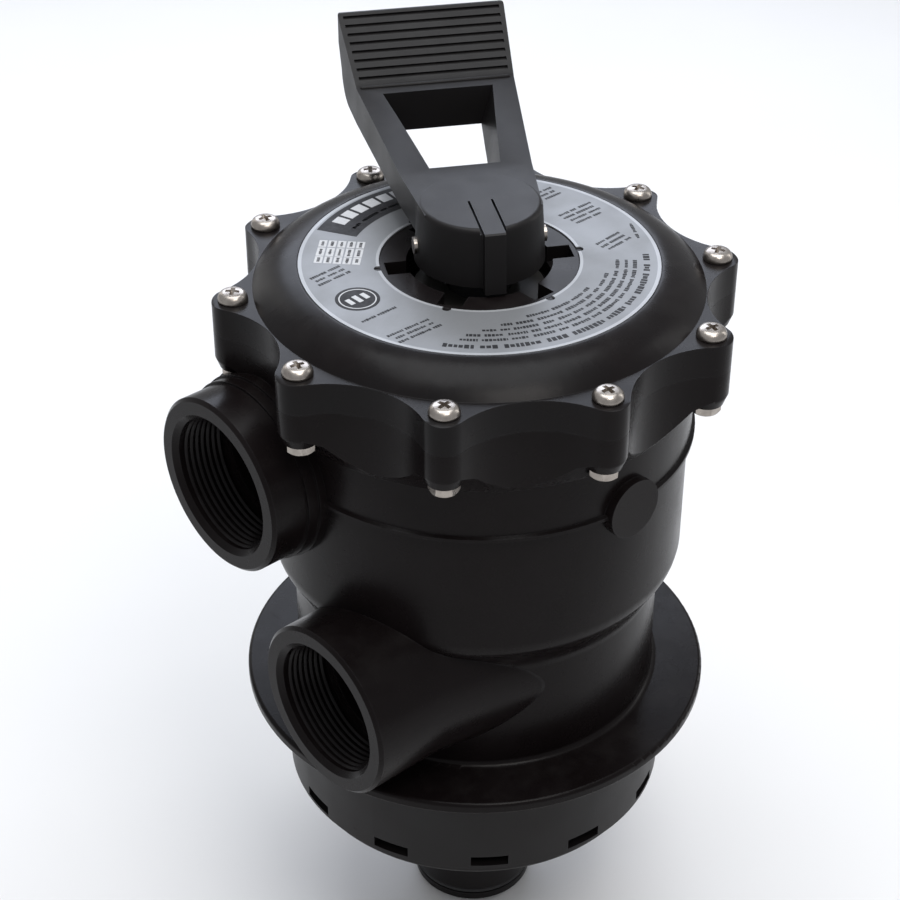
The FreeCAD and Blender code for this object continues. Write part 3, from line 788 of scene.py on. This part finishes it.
# Studio: a broad cool light behind and above, a slim light behind each side, a wide light
# overhead and a warm fill from the front. Side, back and rise are metres from the middle
# of the valve, as seen by the camera.
middle = Vector((0, 0, 0.07))
level = Vector((viewForward.x, viewForward.y, 0)).normalized()
lightSet = [
    {"name": "topLight", "side": -0.10, "back": 1.00, "rise": 0.64, "size": (0.85, 0.42),
     "power": 4.8, "colour": (0.80, 0.86, 1.0)},
    {"name": "rightLight", "side": 0.85, "back": 0.32, "rise": 0.35, "size": (0.16, 0.75),
     "power": 0.95, "colour": (1.0, 0.99, 0.97)},
    {"name": "leftLight", "side": -0.62, "back": 0.75, "rise": 0.35, "size": (0.2, 0.7),
     "power": 0.5, "colour": (1.0, 0.98, 0.95)},
    {"name": "overhead", "side": 0.0, "back": 0.10, "rise": 1.5, "size": (1.2, 1.0),
     "power": 15.0, "colour": (0.96, 0.98, 1.0)},
    {"name": "frontFill", "side": 0.25, "back": -0.55, "rise": 1.05, "size": (0.5, 0.4),
     "power": 4.0, "colour": (1.0, 0.96, 0.92)},
]


def addLight(s):
    data = bpy.data.lights.new(s["name"], "AREA")
    data.shape = "RECTANGLE"
    data.size, data.size_y = s["size"]
    data.energy = s["power"]
    data.color = s["colour"]
    lamp = bpy.data.objects.new(s["name"], data)
    scene.collection.objects.link(lamp)
    aside = viewRight * s["side"] + level * s["back"]
    lamp.location = middle + aside + Vector((0, 0, s["rise"]))
    lamp.rotation_euler = (middle - lamp.location).to_track_quat("-Z", "Y").to_euler()


for lightLook in lightSet:
    addLight(lightLook)

worldLook = {"colour": (0.96, 0.97, 1.0), "strength": 0.50}
world = bpy.data.worlds.new("studio")
scene.world = world
world.use_nodes = True
background = world.node_tree.nodes["Background"]
background.inputs["Color"].default_value = (*worldLook["colour"], 1)
background.inputs["Strength"].default_value = worldLook["strength"]
scene.view_settings.view_transform = "Standard"


# Floor: a wide, plain, pale board, slightly mottled. Its half width and its drop below the
# valve are in metres.
floorSet = {"half": 14.0, "cells": 8, "drop": 0.0004, "paint": (0.80, 0.80, 0.80),
            "shade": (0.78, 0.78, 0.78), "mottleScale": 6.0, "rough": 0.7}


def addFloor(s):
    bm = bmesh.new()
    bmesh.ops.create_grid(bm, x_segments=s["cells"], y_segments=s["cells"], size=s["half"])
    mesh = bpy.data.meshes.new("floor")
    bm.to_mesh(mesh)
    bm.free()
    floor = bpy.data.objects.new("floor", mesh)
    floor.location.z = cadBox[0].z - s["drop"]
    scene.collection.objects.link(floor)
    mat, tree, bsdf = newMaterial("floorPaint")
    tone = ramp(tree, noise(tree, objectPlace(tree), s["mottleScale"]), 0.3, 0.7)
    colour = mixColour(tree, tone, s["paint"], s["shade"])
    tree.links.new(colour, bsdf.inputs["Base Color"])
    bsdf.inputs["Roughness"].default_value = s["rough"]
    mesh.materials.append(mat)


addFloor(floorSet)
print("camera, lights and floor placed")
